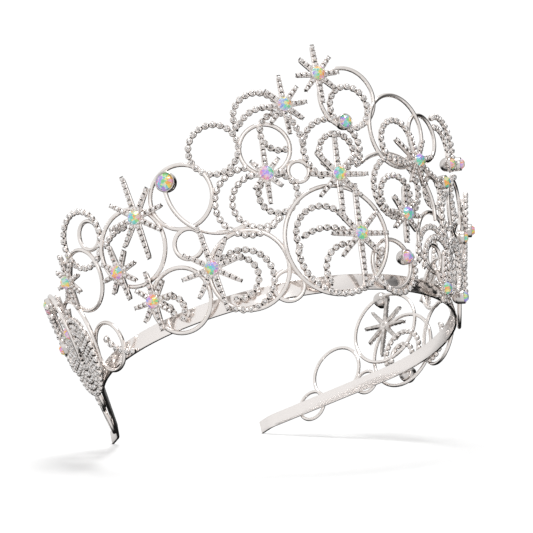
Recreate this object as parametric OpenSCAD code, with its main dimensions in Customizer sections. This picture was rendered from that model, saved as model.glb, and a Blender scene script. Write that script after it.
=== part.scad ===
// Celestial tiara: a flat springy headband with a tall wall of wire rings,
// stone-set moons, eight-ray stars and bezel-set stones on its outer face.
// X runs across the head, the front of the crown faces -Y and Z is up.
// A place on the wall is [s, z]: s millimetres along the band from the front
// centre (positive to the crown's left hand, +X) and z millimetres above the band's lower edge.

/* [Headband] */
// Radius of the wide front arc, at the middle of the strip's thickness
front_r = 66; // [55:1:80]
// Half of the front arc's angle
front_half_angle = 82; // [60:1:89]
// Radius of each side arc
side_r = 56; // [40:1:80]
// Angle of each side arc
side_angle = 34; // [10:1:60]
// Length of each straight arm
arm_length = 56; // [30:1:80]
// Length of each bent tip
tip_length = 8; // [4:0.5:15]
// How far each tip turns outward
tip_bend = 22; // [0:1:60]
// Height of the flat strip
band_h = 5.4; // [3:0.1:8]
// Thickness of the flat strip
band_t = 1; // [0.6:0.1:2]

/* [Wall] */
// How far the wall leans outward from upright
lean = 15.5; // [0:0.5:30]
// Diameter of the plain ring wire
wire_d = 1.4; // [1:0.1:2]

/* [Moons] */
// Width of the stone setting strip
setting_w = 2.1; // [1.5:0.1:3]
// Depth of the stone setting strip
setting_t = 1.3; // [0.8:0.1:2]
// Diameter of each small round stone
pebble_d = 2; // [1.4:0.1:3]
// Height of each small round stone
pebble_h = 0.8; // [0.4:0.1:1.5]
// Distance from stone to stone along a strip
pebble_pitch = 2.45; // [2:0.05:4]

/* [Stars] */
// Long ray of a large star
large_long = 14; // [10:0.5:20]
// Short ray of a large star
large_short = 10.2; // [6:0.1:14]
// Long ray of a small star
small_long = 9.6; // [6:0.1:14]
// Short ray of a small star
small_short = 7.4; // [4:0.1:12]
// Ray width at the hub
ray_root = 2.2; // [1.6:0.1:4]
// Ray width at the tip
ray_tip = 1.4; // [0.6:0.1:2.5]
// Thickness of a star
star_t = 1.7; // [1:0.1:3]
// Diameter of a star's centre stone
star_stone_d = 4.4; // [3:0.1:6]

/* [Bezels] */
// Outer diameter of a large bezel cup
large_cup_d = 6.6; // [5:0.1:10]
// Outer diameter of a small bezel cup
small_cup_d = 5; // [4:0.1:8]
// Straight depth of a bezel cup, without its round back
cup_t = 2.1; // [1:0.1:5]
// Width of a large cup's rim round its stone
large_rim = 0.7; // [0.3:0.1:1.2]
// Width of a small cup's rim round its stone
small_rim = 0.5; // [0.3:0.1:1]

/* [Hidden] */
$fn = 96;
eps = 0.05;
front_len = front_r * front_half_angle * PI / 180;
side_len = side_r * side_angle * PI / 180;
curve_len = front_len + side_len;
band_step = 3;
arm_heading = front_half_angle + side_angle;
// The row's origin is under the middle of the crown, at its lowest level.
origin_back = 62.1;
origin_low = 4.65;
// Wires lie on the strip's outer face.
wire_out = band_t / 2 + wire_d / 2 - eps;
setting_out = band_t / 2 - eps;
stone_out = setting_out + setting_t;
star_out = 1.9;

// Places of the plain rings, [s, z], with how far one that crosses another stands out from it.
// Rings of one size share a node.
least_ring_r = 3.4;
least_rings = [[-20.5, 37.8]];
tiny_ring_r = 4.8;
tiny_rings = [[-85, 40.5], [-54.8, 23.6], [-29.2, 3.6], [27.5, 12.5], [-135, 3.8], [135, 3.8]];
arm_small_ring_r = 6.3;
arm_small_rings = [[-162.8, 3.2], [162.8, 3.2]];
small_ring_r = 8.1;
small_rings = [[-96, 6.5], [-28.5, 46], [23.3, 52.8], [6.3, 8]];
medium_ring_r = 10.3;
medium_rings = [[-94.7, 29.7], [-53.2, 38.1], [-62.3, 8.2], [-3.8, 60.8], [27.6, 18.2], [47, 36.5], [62, 8.5],
    [95, 30]];
arm_medium_ring_r = 11.5;
arm_medium_rings = [[-149, 13.5], [149, 13.5]];
large_ring_r = 12.5;
large_rings = [[-71.8, 29.4], [-39.7, 10.7], [12, 52.2], [72, 30], [94, 8.4]];
arm_large_ring_r = 15.5;
arm_large_rings = [[-124.5, 24.5, wire_d + eps], [-113.6, 15.6], [123.5, 24.5], [117.5, 12, wire_d + eps]];
great_ring_r = 17.5;
great_rings = [[-12.3, 15.7]];

// A moon strip is [s, z, r, start angle, end angle], angles from +X round to up, with how far one that
// lies over others stands out from the wall.
over_one = 1.6;
over_two = 2.4;
over_ring = 3.3;
moon_left_side = [[-88.3, 40.8, 9.5, 0, 360]];
moon_left_inner = [[-74.1, 26.4, 10.6, 74, 134]];
moon_left_front = [[-41.6, 49.2, 8, 0, 360]];
moon_crescent_tall = [[-35.5, 31, 10.7, 78, 322], [-32.8, 30.5, 8.4, 88, 318]];
moon_small_ring = [[-27.2, 31.7, 6.2, 0, 360]];
moon_star_arcs = [[-28.7, 56.4, 7.8, 30, 205], [-27, 49.2, 10.1, 70, 150], [-24, 50.8, 6.1, 62, 292]];
moon_star_chain = [[-44.7, 41, 31.9, 4, 24]];
moon_crescent_low = [[-41.9, 8.2, 9.4, -128, 126], [-43.6, 9.2, 6.6, -118, 122]];
moon_left_low = [[-66.4, 6.1, 4.8, -60, 102], [-69.8, 5.5, 4.1, -20, 80]];
moon_left_corner = [[-83, 13, 13.1, 196, 262]];
moon_top_ring = [[-3.6, 57.7, 7.1, 0, 360]];
moon_centre_outer = [[-10.2, 44.1, 10, -36, 246]];
moon_centre_inner = [[-8.9, 43.2, 6.1, 0, 360]];
moon_great_crescents = [[-16.2, 17.6, 9.1, 22, 208], [-11.2, 13.2, 14.8, 178, 318],
    [-15.1, 5.2, 14.9, 54, 124], [-9.3, 6.3, 8.2, 76, 214]];
moon_right_top_ring = [[11.8, 48.6, 7.3, 0, 360]];
moon_right_crescent = [[10.4, 33, 10.3, 0, 360], [9.9, 30.4, 6.8, 0, 360]];
moon_right_low = [[8.2, 6.8, 8.1, 130, 400]];
moon_right_horn = [[33.6, 52.9, 11.2, -30, 132], [32.4, 51.4, 8.4, -20, 122]];
moon_right_middle = [[31, 9.6, 11.2, 0, 190], [27.6, 12.9, 10.6, -10, 200], [41.5, 29, 10.3, 96, 276],
    [38, 32, 6.2, 0, 360], [28, 35.6, 5.4, 0, 360]];
moon_right_cluster = [[46, 14, 10.6, 0, 360], [46, 14, 8.2, 0, 360], [60, 40, 7.5, 0, 360, over_two],
    [47.5, 41, 7.2, 90, 290]];
moon_right_turn = [[58, 30.5, 11.4, -70, 110, over_one], [56, 29.5, 8.6, -60, 100, over_one],
    [56, 9.4, 9.6, 10, 100, over_one]];
moon_right_side = [[88, 41.6, 10.3, 0, 360]];
moon_right_arm = [[116.5, 10, 9, -20, 200], [117, 8, 5.6, -10, 190], [99.5, 7.9, 8.1, 150, 330]];
moon_left_arm_low = [[-146.5, 11.6, 9.4, -40, 220], [-146.5, 9.6, 6.2, -20, 200]];
moon_left_arm_disc = [[-113, 11, 13.4, 0, 360, over_one], [-113, 11, 11, 0, 360, over_one],
    [-113, 11, 8.6, 0, 360, over_one], [-113, 11, 6.2, 0, 360, over_one], [-113, 11, 3.8, 0, 360, over_one]];
moon_left_arm_high = [[-126, 25, 12.4, 60, 250, over_ring], [-127, 24.6, 9.6, 50, 270, over_ring],
    [-119, 23.4, 5.4, 90, 290]];

// Moons whose small stones are drawn together.
pebble_left = concat(moon_left_side, moon_left_inner, moon_left_front, moon_small_ring, moon_star_chain,
    moon_left_corner);
pebble_left_inner = concat(moon_crescent_tall, moon_star_arcs, moon_crescent_low, moon_left_low);
pebble_centre = concat(moon_top_ring, moon_centre_outer, moon_great_crescents);
pebble_centre_inner = concat(moon_centre_inner, moon_right_low);
pebble_right = concat(moon_right_top_ring, moon_right_middle, moon_right_turn);
pebble_right_inner = concat(moon_right_crescent, moon_right_horn, moon_right_side);
pebble_cluster = moon_right_cluster;
pebble_arms = concat(moon_right_arm, moon_left_arm_low);
pebble_arm_disc = moon_left_arm_disc;
pebble_arms_high = moon_left_arm_high;

// A star is [s, z, turn].
large_stars = [[-66.8, 37.1, 0], [-49.7, 14, 5], [-9.8, 35.7, -1], [124.3, 26.8, 13], [-114, 20.7, -13],
    [66, 37, 0]];
tall_stars = [[-5.4, 17, 0]];
slender_stars = [[-29.5, 38, -3]];
turned_stars = [[18.5, 43.2, 66]];
base_stars = [[30.6, 3, -6]];
small_stars = [[-12, 67.8, 4], [-21.8, 58.5, 2], [-78, 24.2, 2], [-99.9, 32.4, -8], [-70, 11, -3],
    [12, 24.3, -1], [80, 24, 0], [101.5, 32.6, 8]];

// Bezel-set stones, [s, z, where the back of the cup sits]: sunk between wires, or on the strip's face.
sunk = -0.8;
proud = band_t / 2;
large_bezels = [[-55.5, 43.6, sunk], [124.4, 39.2, sunk], [117, 1.2, proud], [-125, 37.3, sunk]];
small_bezels = [[-6, 52.6, sunk], [11.1, 10.3, sunk], [38, 48.7, sunk], [48, 53.4, sunk],
    [33.3, 40.3, sunk], [59.7, 33.5, wire_d], [54, 28.4, sunk], [45, 3.6, proud], [-128.5, 22, wire_d]];

// Heading of the band, in degrees, s along it from the front centre.
function heading(s) = let(v = abs(s)) sign(s) * (
    v < front_len ? v / front_r * 180 / PI
    : v < front_len + side_len ? front_half_angle + (v - front_len) / side_r * 180 / PI
    : arm_heading);
function front_arc_x(a) = front_r * sin(a);
function front_arc_y(a) = front_r - front_r * cos(a);
side_cx = front_arc_x(front_half_angle) - side_r * sin(front_half_angle);
side_cy = front_arc_y(front_half_angle) + side_r * cos(front_half_angle);
arm_x = side_cx + side_r * sin(arm_heading);
arm_y = side_cy - side_r * cos(arm_heading);
function band_point(s) = let(v = abs(s), a = abs(heading(s)), g = sign(s), d = v - front_len - side_len)
    v < front_len ? [g * front_arc_x(a), front_arc_y(a)]
    : v < front_len + side_len ? [g * (side_cx + side_r * sin(a)), side_cy - side_r * cos(a)]
    : [g * (arm_x + d * cos(a)), arm_y + d * sin(a)];

// Puts children on the wall at [s, z]: their X runs along the band, Y up the wall and Z outward.
module on_wall(s, z, out = 0) {
    p = band_point(s);
    translate([p.x, p.y - origin_back, origin_low])
        rotate([0, 0, heading(s)])
            rotate([90 + lean, 0, 0])
                translate([0, z / cos(lean), out])
                    children();
}

// A point d outside the band's middle line, s along it.
function beside(s, d) = let(p = band_point(s), h = heading(s)) [p.x + d * sin(h), p.y - d * cos(h)];

// One side of the strip on the right half, d outside its middle line: curve, mitred bend, square end.
function half_edge(d) = let(
        m = d / cos(tip_bend / 2),
        a = arm_heading - tip_bend / 2,
        b = arm_heading - tip_bend,
        bend = band_point(curve_len + arm_length),
        tip = bend + tip_length * [cos(b), sin(b)])
    concat([for (s = [band_step : band_step : curve_len - 1]) beside(s, d)],
        [beside(curve_len, d), bend + m * [sin(a), -cos(a)], tip + d * [sin(b), -cos(b)]]);
function reversed(l) = [for (i = [len(l) - 1 : -1 : 0]) l[i]];
function mirrored(l) = [for (p = l) [-p.x, p.y]];

module headband() {
    outer = half_edge(band_t / 2);
    inner = half_edge(-band_t / 2);
    color([0.78, 0.76, 0.73])
        translate([0, -origin_back, origin_low])
            linear_extrude(band_h)
                polygon(concat([beside(0, band_t / 2)], outer, reversed(inner), [beside(0, -band_t / 2)],
                    mirrored(inner), reversed(mirrored(outer))));
}

// A full ring of plain wire in the plane of its children's X and Y.
module wire_ring(r) {
    rotate_extrude()
        translate([r, 0])
            circle(d = wire_d);
}

module wire_rings(places, r) {
    color([0.8, 0.78, 0.75])
        for (p = places)
            on_wall(p[0], p[1], wire_out + (len(p) > 2 ? p[2] : 0))
                wire_ring(r);
}

module wire_arc(s, z, r, from, to) {
    color([0.8, 0.78, 0.75])
        on_wall(s, z, wire_out)
            rotate([0, 0, from])
                rotate_extrude(angle = to - from)
                    translate([r, 0])
                        circle(d = wire_d);
}

// How far a strip's back stands out from the strip's own place on the wall.
function over(m) = len(m) > 5 ? m[5] : 0;

// Flat setting strips, each an arc on the wall.
module moon(strips) {
    color([0.84, 0.83, 0.82])
        for (m = strips)
            on_wall(m[0], m[1], setting_out + over(m))
                rotate([0, 0, m[3]])
                    rotate_extrude(angle = m[4] - m[3])
                        translate([m[2] - setting_w / 2, 0])
                            square([setting_w, setting_t]);
}

// The row of small eight-sided stones on each strip.
module pebbles(strips) {
    color([0.92, 0.93, 0.95])
        for (m = strips) {
            sweep = m[4] - m[3];
            n = round(sweep * PI / 180 * m[2] / pebble_pitch);
            on_wall(m[0], m[1], stone_out + over(m))
                for (i = [0 : n - 1])
                    rotate([0, 0, m[3] + (i + 0.5) * sweep / n])
                        translate([m[2], 0, 0])
                            cylinder(d1 = pebble_d, d2 = pebble_d * 0.55, h = pebble_h, $fn = 8);
        }
}

// A flat ray along +X, l long from the hub's centre, with a round tip.
module ray(l) {
    linear_extrude(star_t) {
        polygon([[0, -ray_root / 2], [l - ray_tip / 2, -ray_tip / 2],
            [l - ray_tip / 2, ray_tip / 2], [0, ray_root / 2]]);
        translate([l - ray_tip / 2, 0])
            circle(d = ray_tip);
    }
}

// Eight rays; the pair along Y is long, and up and down may differ.
module star(up, down, side) {
    for (i = [0 : 7])
        rotate([0, 0, i * 45])
            ray(i == 2 ? up : i == 6 ? down : side);
    cylinder(d = star_stone_d + 0.6, h = star_t + 0.4);
}

module stars(places, up, down, side) {
    color([0.8, 0.78, 0.76])
        for (p = places)
            on_wall(p[0], p[1], star_out)
                rotate([0, 0, p[2]])
                    star(up, down, side);
}

module star_stone() {
    cylinder(d = star_stone_d, h = 0.6);
    translate([0, 0, 0.6 - eps])
        cylinder(d1 = star_stone_d, d2 = star_stone_d * 0.6, h = 1);
}

module star_stones() {
    color([0.85, 0.8, 0.9])
        for (p = concat(large_stars, tall_stars, slender_stars, turned_stars, base_stars, small_stars))
            on_wall(p[0], p[1], star_out + star_t + 0.4)
                star_stone();
}

// Closed cup with a domed back at z = 0 and a seat for the stone in front.
module bezel_cup(d, rim) {
    difference() {
        union() {
            intersection() {
                translate([0, 0, d / 2])
                    sphere(d = d);
                translate([0, 0, d / 4])
                    cube([d + 1, d + 1, d / 2], center = true);
            }
            translate([0, 0, d / 2 - eps])
                cylinder(d = d, h = cup_t + eps);
        }
        translate([0, 0, d / 2 + cup_t - 0.9])
            cylinder(d = d - 2 * rim, h = 1);
    }
}

module bezel_stone(d) {
    cylinder(d = d, h = 0.9);
    translate([0, 0, 0.9 - eps])
        cylinder(d1 = d, d2 = d * 0.6, h = 1.2);
}

module bezel_cups(places, d, rim) {
    color([0.78, 0.76, 0.74])
        for (p = places)
            on_wall(p[0], p[1], p[2])
                bezel_cup(d, rim);
}

module bezel_stones(places, d, rim) {
    color([0.85, 0.8, 0.9])
        for (p = places)
            on_wall(p[0], p[1], p[2] + d / 2 + cup_t - 0.9)
                bezel_stone(d - 2 * rim - 0.1);
}

headband();
wire_rings(least_rings, least_ring_r);  // wire_ring_least
wire_rings(tiny_rings, tiny_ring_r);  // wire_rings_tiny
wire_rings(small_rings, small_ring_r);  // wire_rings_small
wire_rings(medium_rings, medium_ring_r);  // wire_rings_medium
wire_rings(large_rings, large_ring_r);  // wire_rings_large
wire_rings(great_rings, great_ring_r);  // wire_ring_great
wire_rings(arm_small_rings, arm_small_ring_r);  // wire_rings_arm_small
wire_rings(arm_medium_rings, arm_medium_ring_r);  // wire_rings_arm_medium
wire_rings(arm_large_rings, arm_large_ring_r);  // wire_rings_arm_large
wire_arc(-42, 40.3, 17.4, 170, 290);  // wire_arc_left
wire_arc(8.6, 25.3, 19.4, -4, 130);  // wire_arc_right
moon(moon_left_side);
moon(moon_left_inner);
moon(moon_left_front);
moon(moon_crescent_tall);
moon(moon_small_ring);
moon(moon_star_arcs);
moon(moon_star_chain);
moon(moon_crescent_low);
moon(moon_left_low);
moon(moon_left_corner);
moon(moon_top_ring);
moon(moon_centre_outer);
moon(moon_centre_inner);
moon(moon_great_crescents);
moon(moon_right_top_ring);
moon(moon_right_crescent);
moon(moon_right_low);
moon(moon_right_horn);
moon(moon_right_middle);
moon(moon_right_cluster);
moon(moon_right_turn);
moon(moon_right_side);
moon(moon_right_arm);
moon(moon_left_arm_low);
moon(moon_left_arm_disc);
moon(moon_left_arm_high);
pebbles(pebble_left);  // pebbles_left
pebbles(pebble_left_inner);  // pebbles_left_inner
pebbles(pebble_centre);  // pebbles_centre
pebbles(pebble_centre_inner);  // pebbles_centre_inner
pebbles(pebble_right);  // pebbles_right
pebbles(pebble_right_inner);  // pebbles_right_inner
pebbles(pebble_cluster);  // pebbles_right_cluster
pebbles(pebble_arms);  // pebbles_arms
pebbles(pebble_arm_disc);  // pebbles_arm_disc
pebbles(pebble_arms_high);  // pebbles_arms_high
stars(large_stars, large_long, large_long, large_short);  // stars_large
stars(tall_stars, 16, 17.4, large_short);  // star_tall
stars(slender_stars, 13, 9.6, 6.2);  // star_slender
stars(turned_stars, 12.4, 12.4, 8.8);  // star_turned
stars(base_stars, 13.8, 5, 6);  // star_base
stars(small_stars, small_long, small_long, small_short);  // stars_small
star_stones();
bezel_cups(large_bezels, large_cup_d, large_rim);  // bezel_cups_large
bezel_cups(small_bezels, small_cup_d, small_rim);  // bezel_cups_small
bezel_stones(large_bezels, large_cup_d, large_rim);  // bezel_stones_large
bezel_stones(small_bezels, small_cup_d, small_rim);  // bezel_stones_small
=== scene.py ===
"""Looks for a celestial tiara: springy headband, wire rings, stone-set moons, stars and bezel-set stones.

Lengths are in millimetres until a mesh is made. The wall's places are [s, z]: s along the band from the
front centre, positive towards +X, and z above the band's lower edge.
"""

import math
import random

import bpy
from mathutils import Matrix, Vector


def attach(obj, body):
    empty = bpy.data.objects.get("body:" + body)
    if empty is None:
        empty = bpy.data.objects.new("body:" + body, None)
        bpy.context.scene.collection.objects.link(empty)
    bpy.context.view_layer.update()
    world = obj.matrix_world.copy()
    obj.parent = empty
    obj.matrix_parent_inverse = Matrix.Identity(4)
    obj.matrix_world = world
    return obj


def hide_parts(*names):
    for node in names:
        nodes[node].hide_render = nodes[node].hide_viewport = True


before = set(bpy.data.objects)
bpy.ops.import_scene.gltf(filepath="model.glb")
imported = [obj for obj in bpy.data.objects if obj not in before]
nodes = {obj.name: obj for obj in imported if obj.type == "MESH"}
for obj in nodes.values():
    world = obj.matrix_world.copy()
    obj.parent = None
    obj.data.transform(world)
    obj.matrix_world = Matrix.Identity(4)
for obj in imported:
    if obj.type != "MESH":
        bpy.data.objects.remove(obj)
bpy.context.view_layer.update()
random.seed(7)

MM = 0.001

# ---------------------------------------------------------------- sizes, as in the CAD

FRONT_R = 66
FRONT_HALF = math.radians(82)
SIDE_R = 56
SIDE_ANGLE = math.radians(34)
ARM_LENGTH = 56
TIP_LENGTH = 8
TIP_BEND = math.radians(22)
BAND_H = 5.4
BAND_T = 1.0
LEAN = math.radians(15.5)
SETTING_OUT = 0.45
STAR_OUT = 1.9
STAR_T = 1.7
RAY_ROOT = 2.2
RAY_TIP = 1.4
STAR_STONE_D = 4.4
LARGE_CUP_D = 6.6
SMALL_CUP_D = 5.0
CUP_T = 2.1
LARGE_RIM = 0.7
SMALL_RIM = 0.5
CUP_SEAT = 0.9
PITCH = 2.45
PAVE_PITCH = 2.0
ORIGIN_BACK = 62.1
ORIGIN_LOW = 4.65
SUNK = -0.8
PROUD = 0.5
ON_WIRE = 1.4
OVER_ONE = 1.6
OVER_TWO = 2.4
OVER_RING = 3.3

FRONT_LEN = FRONT_R * FRONT_HALF
SIDE_LEN = SIDE_R * SIDE_ANGLE
CURVE_LEN = FRONT_LEN + SIDE_LEN
ARM_HEADING = FRONT_HALF + SIDE_ANGLE

# Moon strips: [s, z, r, start angle, end angle], angles from +X round to up, and how far one that lies over
# others stands out.
MOONS = {
    "moon_left_side": [[-88.3, 40.8, 9.5, 0, 360]],
    "moon_left_inner": [[-74.1, 26.4, 10.6, 74, 134]],
    "moon_left_front": [[-41.6, 49.2, 8, 0, 360]],
    "moon_crescent_tall": [[-35.5, 31, 10.7, 78, 322], [-32.8, 30.5, 8.4, 88, 318]],
    "moon_small_ring": [[-27.2, 31.7, 6.2, 0, 360]],
    "moon_star_arcs": [[-28.7, 56.4, 7.8, 30, 205], [-27, 49.2, 10.1, 70, 150], [-24, 50.8, 6.1, 62, 292]],
    "moon_star_chain": [[-44.7, 41, 31.9, 4, 24]],
    "moon_crescent_low": [[-41.9, 8.2, 9.4, -128, 126], [-43.6, 9.2, 6.6, -118, 122]],
    "moon_left_low": [[-66.4, 6.1, 4.8, -60, 102], [-69.8, 5.5, 4.1, -20, 80]],
    "moon_left_corner": [[-83, 13, 13.1, 196, 262]],
    "moon_top_ring": [[-3.6, 57.7, 7.1, 0, 360]],
    "moon_centre_outer": [[-10.2, 44.1, 10, -36, 246]],
    "moon_centre_inner": [[-8.9, 43.2, 6.1, 0, 360]],
    "moon_great_crescents": [
        [-16.2, 17.6, 9.1, 22, 208],
        [-11.2, 13.2, 14.8, 178, 318],
        [-15.1, 5.2, 14.9, 54, 124],
        [-9.3, 6.3, 8.2, 76, 214],
    ],
    "moon_right_top_ring": [[11.8, 48.6, 7.3, 0, 360]],
    "moon_right_crescent": [[10.4, 33, 10.3, 0, 360], [9.9, 30.4, 6.8, 0, 360]],
    "moon_right_low": [[8.2, 6.8, 8.1, 130, 400]],
    "moon_right_horn": [[33.6, 52.9, 11.2, -30, 132], [32.4, 51.4, 8.4, -20, 122]],
    "moon_right_middle": [
        [31, 9.6, 11.2, 0, 190],
        [27.6, 12.9, 10.6, -10, 200],
        [41.5, 29, 10.3, 96, 276],
        [38, 32, 6.2, 0, 360],
        [28, 35.6, 5.4, 0, 360],
    ],
    "moon_right_cluster": [
        [46, 14, 10.6, 0, 360],
        [46, 14, 8.2, 0, 360],
        [60, 40, 7.5, 0, 360, OVER_TWO],
        [47.5, 41, 7.2, 90, 290],
    ],
    "moon_right_turn": [
        [58, 30.5, 11.4, -70, 110, OVER_ONE],
        [56, 29.5, 8.6, -60, 100, OVER_ONE],
        [56, 9.4, 9.6, 10, 100, OVER_ONE],
    ],
    "moon_right_side": [[88, 41.6, 10.3, 0, 360]],
    "moon_right_arm": [[116.5, 10, 9, -20, 200], [117, 8, 5.6, -10, 190], [99.5, 7.9, 8.1, 150, 330]],
    "moon_left_arm_low": [[-146.5, 11.6, 9.4, -40, 220], [-146.5, 9.6, 6.2, -20, 200]],
    "moon_left_arm_disc": [
        [-113, 11, 13.4, 0, 360, OVER_ONE],
        [-113, 11, 11, 0, 360, OVER_ONE],
        [-113, 11, 8.6, 0, 360, OVER_ONE],
        [-113, 11, 6.2, 0, 360, OVER_ONE],
        [-113, 11, 3.8, 0, 360, OVER_ONE],
    ],
    "moon_left_arm_high": [
        [-126, 25, 12.4, 60, 250, OVER_RING],
        [-127, 24.6, 9.6, 50, 270, OVER_RING],
        [-119, 23.4, 5.4, 90, 290],
    ],
}

PEBBLES = {
    "pebbles_left": [
        "moon_left_side",
        "moon_left_inner",
        "moon_left_front",
        "moon_small_ring",
        "moon_star_chain",
        "moon_left_corner",
    ],
    "pebbles_left_inner": ["moon_crescent_tall", "moon_star_arcs", "moon_crescent_low", "moon_left_low"],
    "pebbles_centre": ["moon_top_ring", "moon_centre_outer", "moon_great_crescents"],
    "pebbles_centre_inner": ["moon_centre_inner", "moon_right_low"],
    "pebbles_right": ["moon_right_top_ring", "moon_right_middle", "moon_right_turn"],
    "pebbles_right_inner": ["moon_right_crescent", "moon_right_horn", "moon_right_side"],
    "pebbles_right_cluster": ["moon_right_cluster"],
    "pebbles_arms": ["moon_right_arm", "moon_left_arm_low"],
    "pebbles_arm_disc": ["moon_left_arm_disc"],
    "pebbles_arms_high": ["moon_left_arm_high"],
}

# Stars: places [s, z, turn], then the lengths of the ray up, the ray down and the side rays.
STARS = {
    "stars_large": (
        [
            [-66.8, 37.1, 0],
            [-49.7, 14, 5],
            [-9.8, 35.7, -1],
            [124.3, 26.8, 13],
            [-114, 20.7, -13],
            [66, 37, 0],
        ],
        (14, 14, 10.2),
    ),
    "star_tall": ([[-5.4, 17, 0]], (16, 17.4, 10.2)),
    "star_slender": ([[-29.5, 38, -3]], (13, 9.6, 6.2)),
    "star_turned": ([[18.5, 43.2, 66]], (12.4, 12.4, 8.8)),
    "star_base": ([[30.6, 3, -6]], (13.8, 5, 6)),
    "stars_small": (
        [
            [-12, 67.8, 4],
            [-21.8, 58.5, 2],
            [-78, 24.2, 2],
            [-99.9, 32.4, -8],
            [-70, 11, -3],
            [12, 24.3, -1],
            [80, 24, 0],
            [101.5, 32.6, 8],
        ],
        (9.6, 9.6, 7.4),
    ),
}

# Bezel-set stones: [s, z, where the back of the cup sits].
LARGE_BEZELS = [[-55.5, 43.6, SUNK], [124.4, 39.2, SUNK], [117, 1.2, PROUD], [-125, 37.3, SUNK]]
SMALL_BEZELS = [
    [-6, 52.6, SUNK],
    [11.1, 10.3, SUNK],
    [38, 48.7, SUNK],
    [48, 53.4, SUNK],
    [33.3, 40.3, SUNK],
    [59.7, 33.5, ON_WIRE],
    [54, 28.4, SUNK],
    [45, 3.6, PROUD],
    [-128.5, 22, ON_WIRE],
]


# ---------------------------------------------------------------- where things are


def band_point(s):
    """Place and heading of the band's middle line, s along it from the front centre."""
    v, g = abs(s), (1 if s >= 0 else -1)
    side_cx = (FRONT_R - SIDE_R) * math.sin(FRONT_HALF)
    side_cy = FRONT_R - (FRONT_R - SIDE_R) * math.cos(FRONT_HALF)
    if v < FRONT_LEN:
        a = v / FRONT_R
        x, y = FRONT_R * math.sin(a), FRONT_R - FRONT_R * math.cos(a)
    else:
        a = min(FRONT_HALF + (v - FRONT_LEN) / SIDE_R, ARM_HEADING)
        d = max(v - CURVE_LEN, 0)
        x = side_cx + SIDE_R * math.sin(a) + d * math.cos(a)
        y = side_cy - SIDE_R * math.cos(a) + d * math.sin(a)
    return g * x, y, g * a


def on_wall(s, z, out=0.0):
    """Matrix that puts a shape on the wall: its X runs along the band, Y up the wall and Z outward."""
    x, y, a = band_point(s)
    return (
        Matrix.Translation((x, y - ORIGIN_BACK, ORIGIN_LOW))
        @ Matrix.Rotation(a, 4, "Z")
        @ Matrix.Rotation(math.radians(90) + LEAN, 4, "X")
        @ Matrix.Translation((0, z / math.cos(LEAN), out))
    )


def turned(degrees):
    """Matrix of a turn about Z."""
    return Matrix.Rotation(math.radians(degrees), 4, "Z")


# ---------------------------------------------------------------- mesh making


class Shape:
    """Vertices in millimetres and faces, with a tint value on each face: on metal, tint 0 marks faces that
    get painted shade; on stones it picks each facet's tone.
    """

    def __init__(self, verts=(), faces=()):
        self.verts = [Vector(v) for v in verts]
        self.faces = [list(f) for f in faces]
        self.tints = [0.5] * len(self.faces)

    def put(self, other, matrix):
        """Adds a copy of another shape, moved by the matrix."""
        base = len(self.verts)
        self.verts += [matrix @ v for v in other.verts]
        self.faces += [[base + i for i in f] for f in other.faces]
        self.tints += other.tints

    def centre(self, face):
        """Middle of a face."""
        return sum((self.verts[i] for i in face), Vector()) / len(face)


def lathe(profile, n):
    """A turned shape about Z from (radius, height) points."""
    verts, rings = [], []
    for r, z in profile:
        if r < 1e-6:
            rings.append([len(verts)] * n)
            verts.append((0, 0, z))
        else:
            rings.append(list(range(len(verts), len(verts) + n)))
            for i in range(n):
                a = 2 * math.pi * i / n
                verts.append((r * math.cos(a), r * math.sin(a), z))
    faces = []
    for low, high in zip(rings, rings[1:]):
        for i in range(n):
            j = (i + 1) % n
            corners = [low[i], low[j], high[j], high[i]]
            face = [v for k, v in enumerate(corners) if v not in corners[:k]]
            if len(face) > 2:
                faces.append(face)
    return Shape(verts, faces)


def gem(d, base, girdle, top, table, fold):
    """A brilliant's upper half: a band at the girdle, main and star facets, and a table.

    The table shows the facets behind it, so it is cut into a fan round a small middle patch.
    """
    r, n = d / 2, 2 * fold
    mid_r, mid_z = (r + table) / 2 * 1.06, girdle + (top - girdle) * 0.58
    verts = []
    for radius, z, count, shift in (
        (r, base, n, 0.5),
        (r, girdle, n, 0.5),
        (mid_r, mid_z, fold, 0),
        (table, top, fold, 0.5),
        (table * 0.45, top, fold, 0),
    ):
        for i in range(count):
            a = 2 * math.pi * (i + shift) / count
            verts.append((radius * math.cos(a), radius * math.sin(a), z))
    mid, edge, inner = 2 * n, 2 * n + fold, 2 * n + 2 * fold
    faces = [[i, (i + 1) % n, n + (i + 1) % n, n + i] for i in range(n)]
    for i in range(fold):
        j = (i + 1) % fold
        before, here, after = n + (2 * i - 1) % n, n + 2 * i, n + 2 * i + 1
        faces.append([before, here, mid + i])
        faces.append([here, after, edge + i])
        faces.append([here, edge + i, mid + i])
        faces.append([after, mid + j, edge + i])
        faces.append([mid + j, edge + j, edge + i])
        faces.append([edge + i, inner + j, inner + i])
        faces.append([edge + i, edge + j, inner + j])
    faces.append([inner + i for i in range(fold)])
    return Shape(verts, faces)


def jumble(shape, darkest=0.0):
    """Gives each facet a tone of its own, as each catches a different part of the room."""
    shape.tints = [random.uniform(darkest, 1) for _ in shape.faces]


def rainbow(shape):
    """Lets the colour run from one side of the stone to the other, with a few facets out of step."""
    start, way = random.random(), random.choice((-1, 1))
    shape.tints = []
    reach = max(v.xy.length for v in shape.verts)
    for face in shape.faces:
        c = shape.centre(face) / reach
        tint = start + way * 0.36 * c.x + 0.16 * math.sin(4 * c.y + 6 * start)
        shape.tints.append((tint + random.choice((-0.16, -0.04, 0, 0.04, 0.16))) % 1)


def dark_gap(d, rise):
    """The shadowed hollow between two seats, as a low button in the darkest tone."""
    shape = lathe([(d / 2, 0), (d / 3, rise * 0.8), (0, rise)], 6)
    shape.tints = [0.0] * len(shape.faces)
    return shape


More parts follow.
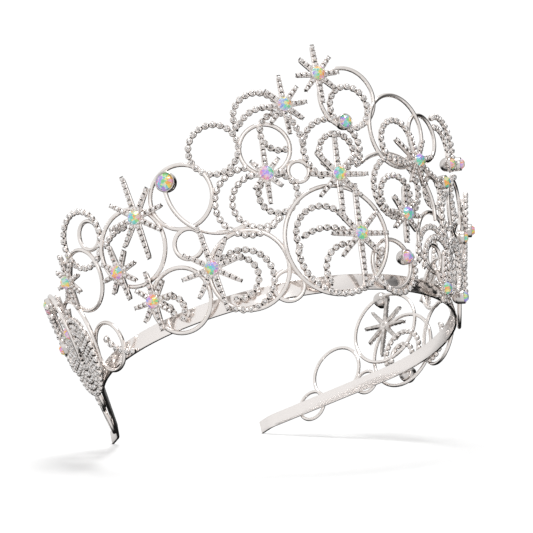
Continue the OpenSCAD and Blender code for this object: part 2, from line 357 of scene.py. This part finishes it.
def ball(d, low, n=8):
    """A small round bead on a short foot."""
    r = d / 2
    profile = [(r * 0.8, low)]
    for a in (math.radians(-20), math.radians(20), math.radians(55)):
        profile.append((r * math.cos(a), low + r * 0.7 + r * math.sin(a)))
    return lathe(profile + [(0, low + r * 1.7)], n)


def loft(rings, closed=False):
    """A skin over rings of points, all with the same count, capped at its ends unless it is closed."""
    n, verts, faces = len(rings[0]), [], []
    for ring in rings:
        verts += ring
    spans = len(rings) if closed else len(rings) - 1
    for k in range(spans):
        a, b = k * n, ((k + 1) % len(rings)) * n
        for i in range(n):
            j = (i + 1) % n
            faces.append([a + i, a + j, b + j, b + i])
    if not closed:
        faces.append(list(range(n))[::-1])
        faces.append([(len(rings) - 1) * n + i for i in range(n)])
    return Shape(verts, faces)


def finish_piece(shape, name, material, replaced=(), smooth=40):
    """Turns a shape into an object in metres that rides on the body and stands for CAD nodes."""
    mesh = bpy.data.meshes.new(name)
    mesh.from_pydata([v * MM for v in shape.verts], [], shape.faces)
    tint = mesh.attributes.new("tint", "FLOAT", "FACE")
    tint.data.foreach_set("value", shape.tints)
    if smooth:
        mesh.polygons.foreach_set("use_smooth", [True] * len(mesh.polygons))
        mesh.set_sharp_from_angle(angle=math.radians(smooth))
    mesh.materials.append(material)
    piece = bpy.data.objects.new(name, mesh)
    bpy.context.scene.collection.objects.link(piece)
    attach(piece, "root")
    for node in replaced:
        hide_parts(node)
    return piece


# ---------------------------------------------------------------- materials


def new_material(name):
    """A material with its node tree and its shader."""
    material = bpy.data.materials.new(name)
    material.use_nodes = True
    tree = material.node_tree
    return material, tree, tree.nodes["Principled BSDF"]


def noise(tree, scale, detail=3.0):
    """Noise in the object's own space."""
    coords = tree.nodes.new("ShaderNodeTexCoord")
    tex = tree.nodes.new("ShaderNodeTexNoise")
    tex.inputs["Scale"].default_value = scale
    tex.inputs["Detail"].default_value = detail
    tree.links.new(coords.outputs["Object"], tex.inputs["Vector"])
    return tex.outputs["Fac"]


def ramp(tree, source, stops):
    """Colours by a value from 0 to 1."""
    node = tree.nodes.new("ShaderNodeValToRGB")
    band = node.color_ramp
    while len(band.elements) < len(stops):
        band.elements.new(0.5)
    for element, (place, colour) in zip(band.elements, stops):
        element.position = place
        element.color = (*colour, 1)
    tree.links.new(source, node.inputs["Fac"])
    return node.outputs["Color"]


def spread(tree, source, low, high):
    """Noise stretched from its usual range to low and high."""
    node = tree.nodes.new("ShaderNodeMapRange")
    node.inputs["From Min"].default_value = 0.3
    node.inputs["From Max"].default_value = 0.7
    node.inputs["To Min"].default_value = low
    node.inputs["To Max"].default_value = high
    tree.links.new(source, node.inputs["Value"])
    return node.outputs["Result"]


def blend(tree, factor, first, second):
    """The first source where the factor is 0 and the second where it is 1."""
    node = tree.nodes.new("ShaderNodeMix")
    node.data_type = "RGBA"
    tree.links.new(factor, node.inputs["Factor"])
    tree.links.new(first, node.inputs[6])
    tree.links.new(second, node.inputs[7])
    return node.outputs[2]


def bump(tree, source, shader, strength, distance):
    """Fine relief from a value."""
    node = tree.nodes.new("ShaderNodeBump")
    node.inputs["Strength"].default_value = strength
    node.inputs["Distance"].default_value = distance
    tree.links.new(source, node.inputs["Height"])
    tree.links.new(node.outputs["Normal"], shader.inputs["Normal"])


def metal(name, light, dark, rough_low, rough_high, grain, back=None):
    """Polished plate: a faint uneven tone, soft smudges in its gloss and a very fine surface.

    On a cast piece the back and undersides, the faces whose tint is 0, are duller, and painted shade makes
    them darker.
    """
    material, tree, shader = new_material(name)
    shader.inputs["Metallic"].default_value = 1.0
    tone = ramp(tree, noise(tree, 260), [(0.35, dark), (0.65, light)])
    gloss = spread(tree, noise(tree, 420, 5), rough_low, rough_high)
    if back:
        tint = tree.nodes.new("ShaderNodeAttribute")
        tint.attribute_name = "tint"
        front = ramp(tree, tint.outputs["Fac"], [(0.1, (0, 0, 0)), (0.4, (1, 1, 1))])
        # Painted shade: faces with tint 0 take the darker back colour instead of the plate's tone.
        tone = blend(tree, front, ramp(tree, noise(tree, 700), [(0.3, back), (0.7, dark)]), tone)
        gloss = blend(tree, front, spread(tree, noise(tree, 900, 5), 0.25, 0.45), gloss)
    tree.links.new(tone, shader.inputs["Base Color"])
    tree.links.new(gloss, shader.inputs["Roughness"])
    bump(tree, noise(tree, grain, 4), shader, 0.25, 0.00004)
    return material


band_metal = metal("band_metal", (0.93, 0.885, 0.86), (0.92, 0.875, 0.848), 0.12, 0.18, 900)
wire_metal = metal("wire_metal", (0.93, 0.88, 0.85), (0.87, 0.82, 0.785), 0.05, 0.12, 1400)
# The last colour of the setting and star metals is painted shade, put on their undersides.
setting_metal = metal(
    "setting_metal", (0.95, 0.905, 0.875), (0.86, 0.805, 0.77), 0.04, 0.10, 2200, (0.40, 0.37, 0.35)
)
star_metal = metal(
    "star_metal", (0.93, 0.88, 0.85), (0.84, 0.785, 0.755), 0.04, 0.12, 1800, (0.36, 0.34, 0.32)
)
# Painted shade: the cups use the plate made darker all over, for their dark sides.
cup_metal = metal("cup_metal", (0.80, 0.762, 0.738), (0.60, 0.568, 0.545), 0.05, 0.12, 1200)


def stone(name, stops, metallic, painted_glow, roughness):
    """A foil-backed stone: each facet has its own tone from the ramp, under a clear hard polish. On clear
    stones the tones are painted reflections of the room, and the glow is painted light.
    """
    material, tree, shader = new_material(name)
    tint = tree.nodes.new("ShaderNodeAttribute")
    tint.attribute_name = "tint"
    colour = ramp(tree, tint.outputs["Fac"], stops)
    tree.links.new(colour, shader.inputs["Base Color"])
    tree.links.new(colour, shader.inputs["Emission Color"])
    # Painted light: the facets give off their own colour, though the stone is no lamp.
    shader.inputs["Emission Strength"].default_value = painted_glow
    shader.inputs["Metallic"].default_value = metallic
    shader.inputs["Roughness"].default_value = roughness
    shader.inputs["Coat Weight"].default_value = 0.4
    shader.inputs["Coat Roughness"].default_value = 0.02
    bump(tree, noise(tree, 1500, 2), shader, 0.15, 0.00003)
    return material


# Clear stones: facet tones from near black to near white are painted reflections of a dark and bright room.
clear_stone = stone(
    "clear_stone",
    [
        (0.0, (0.02, 0.018, 0.016)),
        (0.28, (0.1, 0.09, 0.085)),
        (0.42, (0.62, 0.58, 0.56)),
        (0.7, (0.97, 0.95, 0.94)),
    ],
    0.8,
    0.0,
    0.08,
)
# Coated stones: the coating's colours, made brighter by a painted glow.
iridescent_stone = stone(
    "iridescent_stone",
    [
        (0.0, (0.66, 0.20, 0.42)),
        (0.10, (0.58, 0.46, 0.52)),
        (0.18, (0.42, 0.22, 0.62)),
        (0.30, (0.20, 0.30, 0.62)),
        (0.38, (0.48, 0.54, 0.56)),
        (0.46, (0.12, 0.50, 0.48)),
        (0.58, (0.20, 0.50, 0.14)),
        (0.66, (0.54, 0.58, 0.40)),
        (0.74, (0.64, 0.48, 0.08)),
        (0.86, (0.68, 0.24, 0.08)),
        (0.93, (0.58, 0.48, 0.42)),
        (1.0, (0.66, 0.20, 0.42)),
    ],
    0.25,
    0.3,
    0.12,
)

for node_name, obj in nodes.items():
    if node_name.startswith("wire_"):
        obj.material_slots[0].link = "OBJECT"
        obj.material_slots[0].material = wire_metal

# ---------------------------------------------------------------- headband


def band_stations():
    """(x, y, heading) along the strip from its left tip to its right tip, with the bends rounded off."""
    last = CURVE_LEN + ARM_LENGTH
    half = [k * 1.5 for k in range(int(CURVE_LEN / 1.5) + 1)] + [CURVE_LEN + 2, last - 14, last - 4]
    right = [band_point(s) for s in half]
    x, y, a = band_point(last - 2.2)
    steps = 8
    for k in range(1, steps + 1):
        turn = TIP_BEND * k / steps
        b = a - turn + TIP_BEND / steps / 2
        x += 4.4 / steps * math.cos(b)
        y += 4.4 / steps * math.sin(b)
        right.append((x, y, a - turn))
    b = a - TIP_BEND
    x += (TIP_LENGTH - 2.2) * math.cos(b)
    y += (TIP_LENGTH - 2.2) * math.sin(b)
    right.append((x, y, b))
    left = [(-x, y, -a) for x, y, a in right[:0:-1]]
    return left + right


def band_section():
    """(out, up) points round the strip's section, with small rounded edges."""
    r, half, points = 0.22, BAND_T / 2, []
    corners = ((half - r, BAND_H - r, 0), (r - half, BAND_H - r, 90), (r - half, r, 180), (half - r, r, 270))
    for cx, cy, start in corners:
        for k in range(4):
            a = math.radians(start + 30 * k)
            points.append((cx + r * math.cos(a), cy + r * math.sin(a)))
    return points


rings = []
for x, y, a in band_stations():
    ring = []
    for out, up in band_section():
        ring.append((x + out * math.sin(a), y - out * math.cos(a) - ORIGIN_BACK, up + ORIGIN_LOW))
    rings.append(ring)
finish_piece(loft(rings), "headband_strip", band_metal, ["headband"], 30)

# ---------------------------------------------------------------- moons


def stone_places(strip):
    """Matrices of the stones on a strip, seen from the strip's own base."""
    s, z, r, start, end, *over = strip
    n = round(math.radians(end - start) * r / PITCH)
    base = on_wall(s, z, SETTING_OUT + sum(over))
    for i in range(n):
        yield base @ turned(start + (i + 0.5) * (end - start) / n) @ Matrix.Translation((r, 0, 0))


def rail(strip):
    """The thin flat strip that the cups stand on."""
    s, z, r, start, end, *over = strip
    base = on_wall(s, z, SETTING_OUT + sum(over))
    whole = end - start >= 360
    steps = max(6, int((end - start) / 6))
    section = [(-0.5, 0.05), (0.5, 0.05), (0.58, 0.4), (0.4, 0.7), (-0.4, 0.7), (-0.58, 0.4)]
    rings = []
    for k in range(steps if whole else steps + 1):
        a = math.radians(start + (end - start) * k / steps)
        rings.append([base @ Vector(((r + u) * math.cos(a), (r + u) * math.sin(a), v)) for u, v in section])
    strip_shape = loft(rings, closed=whole)
    # Painted shade: the bottom face gets tint 0 and so the setting metal's darker back colour.
    strip_shape.tints = [0.0 if k % len(section) == 0 else 0.5 for k in range(len(strip_shape.faces))]
    return strip_shape


# A knob: a rounded cup with four round claws over the edge of a small stone.
knob = lathe(
    [(0, 0.02), (0.62, 0.05), (0.96, 0.35), (1.13, 0.8), (1.13, 1.15), (1.0, 1.42), (0.82, 1.5), (0.76, 1.3)],
    14,
)
prong = ball(0.62, 1.2)
for k in range(4):
    knob.put(prong, turned(45 + 90 * k) @ Matrix.Translation((0.84, 0, 0)))
pebble = gem(1.58, 1.2, 1.5, 1.98, 0.42, 6)
gap = dark_gap(0.95, 0.35)
disc_gap = dark_gap(1.25, 0.8)

for name, strips in MOONS.items():
    piece = Shape()
    for strip in strips:
        piece.put(rail(strip), Matrix.Identity(4))
        for m in stone_places(strip):
            piece.put(knob, m)
    finish_piece(piece, name + "_setting", setting_metal, [name])

for name, members in PEBBLES.items():
    piece = Shape()
    for member in members:
        for strip in MOONS[member]:
            for m in stone_places(strip):
                jumble(pebble, 0.18)
                piece.put(pebble, m @ turned(random.uniform(0, 60)))
                piece.put(gap, m @ Matrix.Translation((0, PITCH / 2, 0.72)))
                if member == "moon_left_arm_disc":
                    piece.put(disc_gap, m @ Matrix.Translation((-PITCH / 2, PITCH / 2, 0.75)))
    finish_piece(piece, name + "_cut", clear_stone, [name], smooth=0)

# ---------------------------------------------------------------- stars


def ray_body(length):
    """A tapered ray along +X with a round back, upright sides and a round end."""
    rings = []
    for t in (0.0, 0.3, 0.6, 0.88, 0.94, 0.985, 1.0):
        w = (RAY_ROOT + (RAY_TIP - RAY_ROOT) * min(t / 0.9, 1)) / 2
        if t > 0.88:
            w *= math.sqrt(max(1 - ((t - 0.88) / 0.12) ** 2, 0.03))
        h = STAR_T
        section = [(w, h * 0.72), (w * 0.7, h * 0.82), (-w * 0.7, h * 0.82), (-w, h * 0.72)]
        section += [(-w, h * 0.45), (-w * 0.75, h * 0.12), (0, 0), (w * 0.75, h * 0.12), (w, h * 0.45)]
        rings.append([(length * t, y, z) for y, z in section])
    body = loft(rings)
    # Painted shade: the lower sides and underside get tint 0 and so the star metal's darker back colour.
    body.tints = [0.0 if 4 <= k % len(section) <= 7 else 0.5 for k in range(len(body.faces))]
    return body


seat = lathe([(0.6, -0.5), (0.8, -0.28), (0.84, 0.0), (0.76, 0.22), (0.64, 0.26), (0.6, 0.1)], 12)
small_cut = gem(1.24, 0.0, 0.16, 0.5, 0.34, 6)
small_gap = dark_gap(0.6, 0.14)
bead = ball(0.5, 0.0, 6)
hub = lathe(
    [(0, 0.1), (1.4, 0), (2.0, 0.4), (2.25, 1.0), (2.32, 1.9), (2.26, 2.2), (2.12, 2.26), (2.05, 2.0)],
    28,
)
star_claw = ball(0.95, 1.8, 10)
star_gem = gem(STAR_STONE_D, 2.0, 2.4, 3.6, 1.3, 8)

pave = Shape()
star_gems = Shape()


def build_star(metal_shape, place, rays):
    """Adds one star's metal to a shape, and its stones to the shapes that all stars share."""
    s, z, turn = place
    up, down, side = rays
    base = on_wall(s, z, STAR_OUT) @ turned(turn)
    for i in range(8):
        length = up if i == 2 else down if i == 6 else side
        m = base @ turned(45 * i)
        metal_shape.put(ray_body(length), m)
        first, last = 3.0, length - 0.75
        count = max(1, round((last - first) / PAVE_PITCH))
        for k in range(count + 1):
            x = first + (last - first) * k / count
            size = 1.12 - 0.3 * x / length
            here = m @ Matrix.Translation((x, 0, STAR_T)) @ Matrix.Scale(size, 4)
            jumble(small_cut, 0.3)
            pave.put(small_cut, here)
            metal_shape.put(seat, here)
            for y in (-0.3, 0.3):
                pave.put(small_gap, here @ Matrix.Translation((PAVE_PITCH / 2, y, -0.3)))
            for y in (-0.72, 0.72):
                metal_shape.put(bead, here @ Matrix.Translation((PAVE_PITCH / 2, y, -0.34)))
    metal_shape.put(hub, base)
    for k in range(4):
        metal_shape.put(star_claw, base @ turned(90 * k + 22.5) @ Matrix.Translation((2.15, 0, 0)))
    rainbow(star_gem)
    star_gems.put(star_gem, base @ turned(random.uniform(0, 45)))


for name, (places, rays) in STARS.items():
    piece = Shape()
    for place in places:
        build_star(piece, place, rays)
    finish_piece(piece, name + "_cast", star_metal, [name], 35)
finish_piece(pave, "star_ray_stones", clear_stone, smooth=0)
finish_piece(star_gems, "star_stones_cut", iridescent_stone, ["star_stones"], 0)

# ---------------------------------------------------------------- bezel-set stones


def rolled_cup(d, rim):
    """Round back, straight wall and a rolled rim that closes over the stone's edge."""
    r, top = d / 2, d / 2 + CUP_T
    points = [(r * math.sin(math.radians(a)), r - r * math.cos(math.radians(a))) for a in range(0, 91, 10)]
    points += [(r, top - 0.25), (r - 0.08, top - 0.06), (r - 0.25, top + 0.04)]
    points += [(r - 0.42, top - 0.04), (r - rim, top - 0.3), (r - rim, top - CUP_SEAT)]
    return lathe(points, 40)


for size, places, d, rim in (
    ("large", LARGE_BEZELS, LARGE_CUP_D, LARGE_RIM),
    ("small", SMALL_BEZELS, SMALL_CUP_D, SMALL_RIM),
):
    cups, gems = Shape(), Shape()
    cup = rolled_cup(d, rim)
    stone_low = d / 2 + CUP_T - CUP_SEAT
    stone_d = d - 2 * rim
    cut = gem(stone_d, stone_low, stone_low + 0.75, stone_low + 2.0, stone_d * 0.28, 8)
    for s, z, out in places:
        m = on_wall(s, z, out)
        cups.put(cup, m)
        rainbow(cut)
        gems.put(cut, m @ turned(random.uniform(0, 45)))
    finish_piece(cups, f"bezel_cups_{size}_rolled", cup_metal, [f"bezel_cups_{size}"], 40)
    replaced = [f"bezel_stones_{size}"]
    finish_piece(gems, f"bezel_stones_{size}_cut", iridescent_stone, replaced, 0)

# ---------------------------------------------------------------- camera

LENS = 74.3
CAMERA_PLACE = (-206.4, -320.9, -118.9)
YAW = math.radians(32.96)
PITCH_UP = math.radians(23.02)
ROLL = math.radians(13.27)
camera_data = bpy.data.cameras.new("camera")
camera_data.sensor_width = 36
camera_data.lens = LENS
camera = bpy.data.objects.new("camera", camera_data)
bpy.context.scene.collection.objects.link(camera)
camera.matrix_world = (
    Matrix.Translation(Vector(CAMERA_PLACE) * MM)
    @ Matrix.Rotation(-YAW, 4, "Z")
    @ Matrix.Rotation(PITCH_UP, 4, "X")
    @ Matrix.Rotation(math.radians(90), 4, "X")
    @ Matrix.Rotation(-ROLL, 4, "Z")
)
camera_data.clip_start = 0.01
camera_data.clip_end = 20
bpy.context.scene.camera = camera

# ---------------------------------------------------------------- floor and light

# The crown stands on its two tips with the front raised, so the floor is tilted in the crown's own frame.
FLOOR_TILT = math.radians(23.5)
TIPS_BACK = 85.4
floor_place = Vector((0, TIPS_BACK, ORIGIN_LOW)) * MM
floor_frame = Matrix.Translation(floor_place) @ Matrix.Rotation(FLOOR_TILT, 4, "X")
floor_mesh = bpy.data.meshes.new("floor")
floor_mesh.from_pydata([(-0.9, -1.2, 0), (0.9, -1.2, 0), (0.9, 0.03, 0), (-0.9, 0.03, 0)], [], [(0, 1, 2, 3)])
floor = bpy.data.objects.new("floor", floor_mesh)
floor.matrix_world = floor_frame
floor.visible_glossy = False
bpy.context.scene.collection.objects.link(floor)
floor_material, _, floor_shader = new_material("pale_floor")
floor_shader.inputs["Base Color"].default_value = (0.9, 0.9, 0.9, 1)
floor_shader.inputs["Roughness"].default_value = 0.8
floor_shader.inputs["Specular IOR Level"].default_value = 0.2
floor_shader.inputs["Emission Color"].default_value = (1, 1, 1, 1)
floor_shader.inputs["Emission Strength"].default_value = 0.08
floor_mesh.materials.append(floor_material)


def area_light(name, place, aim, size, power):
    """A soft rectangular light, placed in the floor's frame in metres."""
    data = bpy.data.lights.new(name, "AREA")
    data.shape = "RECTANGLE"
    data.size, data.size_y = size
    data.energy = power
    light = bpy.data.objects.new(name, data)
    place, aim = floor_frame @ Vector(place), floor_frame @ Vector(aim)
    light.location = place
    light.rotation_mode = "QUATERNION"
    light.rotation_quaternion = (aim - place).to_track_quat("-Z", "Y")
    bpy.context.scene.collection.objects.link(light)


area_light("overhead", (0.0, -0.1, 0.9), (0, -0.08, 0), (0.36, 0.36), 3.4)
area_light("key", (-0.5, -0.9, 0.5), (0, -0.08, 0.06), (0.3, 0.5), 0.5)


def facing(tree, direction, stops):
    """Grey level of the room by how far a direction faces this way, from -1 to 1."""
    coords = tree.nodes.new("ShaderNodeTexCoord")
    dot = tree.nodes.new("ShaderNodeVectorMath")
    dot.operation = "DOT_PRODUCT"
    dot.inputs[1].default_value = direction
    tree.links.new(coords.outputs["Generated"], dot.inputs[0])
    level = tree.nodes.new("ShaderNodeMapRange")
    level.inputs["From Min"].default_value = -1
    tree.links.new(dot.outputs["Value"], level.inputs["Value"])
    return ramp(tree, level.outputs["Result"], [((place + 1) / 2, (g, g, g)) for place, g in stops])


# The room is white to look at. What it gives off is a studio: lamps up on the crown's left, a pale near side
# and a dark far side low on the right, which draws the wires' edges and the undersides.
world = bpy.data.worlds.new("studio")
bpy.context.scene.world = world
world.use_nodes = True
tree = world.node_tree
background = tree.nodes["Background"]
toward_camera = (-0.5, -0.77, -0.39)
toward_lamps = (-0.35, 0, 0.94)
dark_side = facing(tree, toward_camera, [(-1, 0.01), (-0.25, 0.015), (0.05, 0.25), (0.4, 0.78), (1, 0.86)])
lamp_side = facing(tree, toward_camera, [(-1, 0.78), (-0.2, 0.9), (0.6, 0.95), (1, 0.85)])
lit = facing(tree, toward_lamps, [(0.08, 0.0), (0.22, 0.5), (0.4, 1.0)])
tree.links.new(blend(tree, lit, dark_side, lamp_side), background.inputs["Color"])
background.inputs["Strength"].default_value = 1.0
seen = tree.nodes.new("ShaderNodeBackground")
seen.inputs["Color"].default_value = (1, 1, 1, 1)
seen.inputs["Strength"].default_value = 1.04
path = tree.nodes.new("ShaderNodeLightPath")
mix = tree.nodes.new("ShaderNodeMixShader")
tree.links.new(path.outputs["Is Camera Ray"], mix.inputs["Fac"])
tree.links.new(background.outputs["Background"], mix.inputs[1])
tree.links.new(seen.outputs["Background"], mix.inputs[2])
tree.links.new(mix.outputs["Shader"], tree.nodes["World Output"].inputs["Surface"])

bpy.context.scene.view_settings.view_transform = "Standard"
